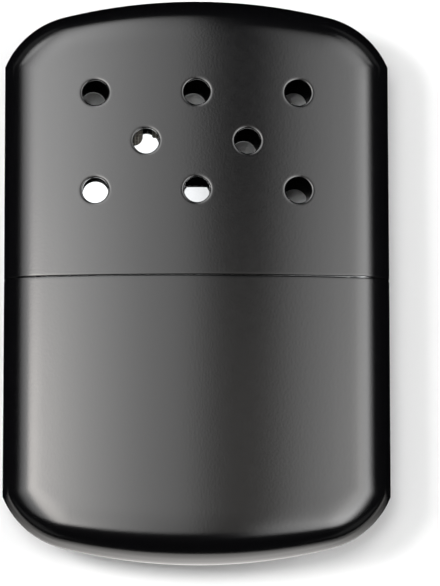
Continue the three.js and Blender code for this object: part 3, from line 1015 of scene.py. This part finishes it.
def hang_cloths(case):
    """Hangs the cloths whose glow the enamel and the plating reflect."""
    # Two overhead cloths give the broad sheens left and right of the case's middle
    overhead_cloth(
        "left_cloth",
        ((-57, 0), (-50, 0.2), (-45, 1.2), (-35, 3.7), (-25, 6.6), (-19, 7.2), (-13, 5), (-6, 3), (-1, 2.4),
         (3, 0.25), (6, 0)),
        ((-34, 0), (-27, 0.7), (-5, 0.85), (8, 1), (30, 1), (50, 0.75), (58, 0.5), (66, 0)),
    )
    overhead_cloth(
        "right_cloth",
        ((6, 0), (9, 0.1), (14, 2.5), (19, 3.7), (25, 5.7), (33, 7.7), (37, 5.6), (42, 2.2), (46, 0.6),
         (50, 0)),
        ((-42, 0), (-34, 1.1), (-20, 1.35), (-5, 1.1), (8, 1), (15, 0.88), (25, 0.66), (35, 0.44), (46, 0)),
    )
    # A warmer one glows in the tank's half
    overhead_cloth(
        "lower_cloth",
        ((-32, 0), (-27, 8), (-21, 7.4), (-16, 2), (-12, 1), (-6, 0.4), (0, 0.4), (6, 0.65), (10, 0.6),
         (16, 0.3), (20, 0.9), (25, 2), (28, 0.5), (32, 0)),
        ((-32, 0), (-26, 0.65), (-3, 0.8), (6, 1), (8, 1), (12, 0)),
        height=1.3,
        tint=(1.0, 0.95, 0.88),
    )
    # The lit table in front of the tank shows in its rolled edge
    glowing_cloth(
        "front_cloth",
        ((-2.0, 0), (-0.3, 1.6), (-0.05, 1.8), (-0.033, 3.4), (0.0, 4.2), (0.03, 3.8), (0.045, 1.6),
         (0.3, 1.4), (1.2, 0)),
        ((-3.0, 0.55), (-0.2, 0.58), (-0.08, 0.75), (-0.06, 1), (-0.055, 1), (-0.051, 0.38), (-0.047, 0.2),
         (-0.04, 0)),
        height=0.1 * MM,
        tint=(1.0, 0.975, 0.95),
    )
    # Two patches beyond the lid's end show in its upper corners
    upper = (0.36, 0.45, 0.6, 0.8)
    for name, side, glow in (("upper_left_cloth", -1, 3.5), ("upper_right_cloth", 1, 2.5)):
        glowing_cloth(name, one_side(side, glow, upper), one_side(1, 1, upper), height=0.55)
    # A glow under the burner lights the plating once the lid is off; until then the lid's back wall holds it
    under_cloth = glowing_cloth(
        "under_cloth",
        ((-0.027, 0), (-0.025, 0.8), (0.012, 0.8), (0.014, 0)),
        ((0.003, 0), (0.006, 1), (0.041, 1), (0.043, 0)),
        height=0,
    )
    with editing(under_cloth):
        bpy.ops.mesh.subdivide(number_cuts=19)
    for vertex in under_cloth.data.vertices:
        vertex.co.z = case.wall / 2 + vertex.co.x ** 2 / (2 * case.crown_radius)
    # Dim glows low in the corners of the room give the black enamel some sheen from the sides
    corner = (0.6, 0.8, 2.0, 2.4)
    for index, (side, end) in enumerate(((-1, -1), (-1, 1), (1, -1), (1, 1))):
        glowing_cloth(
            f"corner_cloth_{index}", one_side(side, 0.25, corner), one_side(end, 1, corner), height=0.5
        )


def photo_camera(settings):
    """Camera that looks down at the case from its tilt and lean."""
    back = Vector((-math.tan(settings.camera_lean), -math.tan(settings.camera_tilt), 1)).normalized()
    across = Vector((0, 1, 0)).cross(back).normalized()
    facing = Matrix((across, back.cross(across), back)).transposed().to_4x4()
    turned = facing @ Matrix.Rotation(settings.camera_roll, 4, "Z")
    place = Vector(settings.aim) + back * settings.camera_distance
    camera = start("photo_camera", bpy.ops.object.camera_add, location=place, rotation=turned.to_euler())
    camera.data.lens = settings.lens
    camera.data.clip_start, camera.data.clip_end = 0.05, 20
    return camera


SLIVERS = ((26.4, 0.75), (28.7, 1.0))  # Middle and reach of each, across the case in millimetres
RIM_REACH, FRONT_HALF = 0.5, 7  # In millimetres: up to here from the seam, and above this
SLIVER_TRIM = 0.08 * MM
ASKEW = math.radians(-0.09)
WORLD_GREY = 0.33


class HANDWARMER_OT_lid(bpy.types.Operator):
    """Draws the vented lid from a flat blank"""

    bl_idname = "hand_warmer.lid"
    bl_label = "Lid"
    bl_options = {"REGISTER", "UNDO"}

    def execute(self, context):
        scene = context.scene
        form = CaseForm(scene.case_sizes)
        lid = draw_shell("vented_lid", form, 1, scene.vent_sizes)
        # The front's rim is trimmed a hair short at two places, where slivers of the plated sleeve show
        for vertex in lid.data.vertices:
            x, y, z = vertex.co / MM
            if y < RIM_REACH and z > FRONT_HALF:
                for middle, reach in SLIVERS:
                    if abs(x - middle) < reach:
                        vertex.co.y += SLIVER_TRIM * math.cos((x - middle) / reach * math.pi / 2)
        with editing(lid):
            # The lid sits a touch askew on the sleeve, so the seam is wider at the right
            bpy.ops.transform.rotate(value=ASKEW, orient_axis="Z", center_override=(0, 0, 0))
        seat(lid, "lid", "case_enamel", black_satin_enamel(scene.finish_colours), "lid_shell")
        return {"FINISHED"}


class HANDWARMER_OT_tank(bpy.types.Operator):
    """Draws the fuel tank from a flat blank"""

    bl_idname = "hand_warmer.tank"
    bl_label = "Tank"
    bl_options = {"REGISTER", "UNDO"}

    def execute(self, context):
        scene = context.scene
        form = CaseForm(scene.case_sizes)
        tank = draw_shell("fuel_tank", form, -1)
        seat(tank, "tank", "case_enamel", bpy.data.materials["black_satin_enamel"], "tank_shell")
        return {"FINISHED"}


class HANDWARMER_OT_neck(bpy.types.Operator):
    """Makes the plated sleeve and the mouthpiece"""

    bl_idname = "hand_warmer.neck"
    bl_label = "Neck"
    bl_options = {"REGISTER", "UNDO"}

    def execute(self, context):
        scene = context.scene
        plate = bright_plate(scene.finish_colours)
        sleeve = neck_sleeve(CaseForm(scene.case_sizes), scene.neck_sizes)
        seat(sleeve, "tank", "bright_plate", plate, "neck_sleeve")
        seat(mouthpiece(scene.neck_sizes), "tank", "bright_plate", plate, "mouthpiece")
        return {"FINISHED"}


class HANDWARMER_OT_burner(bpy.types.Operator):
    """Makes the burner's housing, gauze, pad and grate"""

    bl_idname = "hand_warmer.burner"
    bl_label = "Burner"
    bl_options = {"REGISTER", "UNDO"}

    def execute(self, context):
        scene = context.scene
        plate = bpy.data.materials["bright_chrome_plate"]
        housing = burner_housing(scene.burner_sizes)
        seat(housing, "burner", "bright_plate", plate, "burner_housing")
        seat(pad_grate(scene.burner_sizes), "burner", "bright_plate", plate, "pad_grate")
        gauze = wire_gauze(scene.burner_sizes)
        seat(gauze, "burner", "gauze", dull_wire(scene.finish_colours), "wire_screen")
        pad = stuffed(
            "fibre_pad", "catalyst_pad", cell=0.2 * MM, lump=0.35 * MM, lump_size=2.2 * MM, softness=14
        )
        tint = scene.finish_colours.pad
        fibres = fibre("platinised_glass_fibre", tint, scale=2500.0, hollow_shade=0.4, strength=0.6)
        seat(pad, "burner", "glass_fibre", fibres, "catalyst_pad")
        return {"FINISHED"}


class HANDWARMER_OT_filling(bpy.types.Operator):
    """Makes the cotton wadding and the felt wick"""

    bl_idname = "hand_warmer.filling"
    bl_label = "Filling"
    bl_options = {"REGISTER", "UNDO"}

    def execute(self, context):
        colours = context.scene.finish_colours
        wadding = stuffed(
            "packed_wadding", "cotton_wadding", cell=0.6 * MM, lump=1.1 * MM, lump_size=6.0 * MM, softness=24
        )
        cotton = fibre("packed_cotton", colours.cotton, scale=900.0, hollow_shade=0.75, strength=0.8)
        seat(wadding, "tank", "cotton", cotton, "cotton_wadding")
        wick = stuffed(
            "wick_pad", "felt_wick", cell=0.2 * MM, lump=0.25 * MM, lump_size=1.6 * MM, softness=10
        )
        felt = fibre("wool_felt", colours.felt, scale=1600.0, hollow_shade=0.7, strength=0.6)
        seat(wick, "tank", "felt", felt, "felt_wick")
        return {"FINISHED"}


class HANDWARMER_OT_stage(bpy.types.Operator):
    """Makes the white table, the lights and the camera"""

    bl_idname = "hand_warmer.stage"
    bl_label = "Stage"
    bl_options = {"REGISTER", "UNDO"}

    def execute(self, context):
        scene = context.scene
        table = start("table", bpy.ops.mesh.primitive_plane_add, size=6)
        table.data.materials.append(matt_board(scene.finish_colours))
        table.visible_glossy = False
        hang_cloths(scene.case_sizes)
        soft_light("key", (-0.8, 0.16, 0.68), size=0.4, strength=9.0)
        soft_light("top", (-0.2, 0.2, 1.2), size=0.5, strength=4.5)
        soft_light("fill", (0.9, 0.05, 0.42), size=0.5, strength=6.6)
        world = bpy.data.worlds.new("pale_studio")
        world.use_nodes = True
        grey = (WORLD_GREY, WORLD_GREY, WORLD_GREY, 1)
        world.node_tree.nodes["Background"].inputs["Color"].default_value = grey
        world.cycles_visibility.glossy = False
        scene.world = world
        scene.camera = photo_camera(scene.stage_settings)
        scene.view_settings.view_transform = "Standard"
        return {"FINISHED"}


class HANDWARMER_PT_sidebar(bpy.types.Panel):
    """Lists the operators that make the hand warmer"""

    bl_idname = "HANDWARMER_PT_sidebar"
    bl_label = "Hand Warmer"
    bl_space_type = "VIEW_3D"
    bl_region_type = "UI"
    bl_category = "Hand Warmer"

    def draw(self, context):
        for operator in OPERATORS:
            self.layout.operator(operator.bl_idname)
        for name, group in SETTINGS.items():
            box = self.layout.box()
            for key in group.__annotations__:
                box.prop(getattr(context.scene, name), key)


OPERATORS = (
    HANDWARMER_OT_lid,
    HANDWARMER_OT_tank,
    HANDWARMER_OT_neck,
    HANDWARMER_OT_burner,
    HANDWARMER_OT_filling,
    HANDWARMER_OT_stage,
)
SETTINGS = {
    "case_sizes": CaseSizes,
    "vent_sizes": VentSizes,
    "neck_sizes": NeckSizes,
    "burner_sizes": BurnerSizes,
    "finish_colours": FinishColours,
    "stage_settings": StageSettings,
}


def register():
    for name, group in SETTINGS.items():
        bpy.utils.register_class(group)
        setattr(bpy.types.Scene, name, PointerProperty(type=group))
    for kind in (*OPERATORS, HANDWARMER_PT_sidebar):
        bpy.utils.register_class(kind)


def unregister():
    for kind in (HANDWARMER_PT_sidebar, *reversed(OPERATORS)):
        bpy.utils.unregister_class(kind)
    for name, group in reversed(SETTINGS.items()):
        delattr(bpy.types.Scene, name)
        bpy.utils.unregister_class(group)


def main():
    register()
    bpy.ops.hand_warmer.lid()
    bpy.ops.hand_warmer.tank()
    bpy.ops.hand_warmer.neck()
    bpy.ops.hand_warmer.burner()
    bpy.ops.hand_warmer.filling()
    bpy.ops.hand_warmer.stage()


if __name__ == "__main__":
    main()
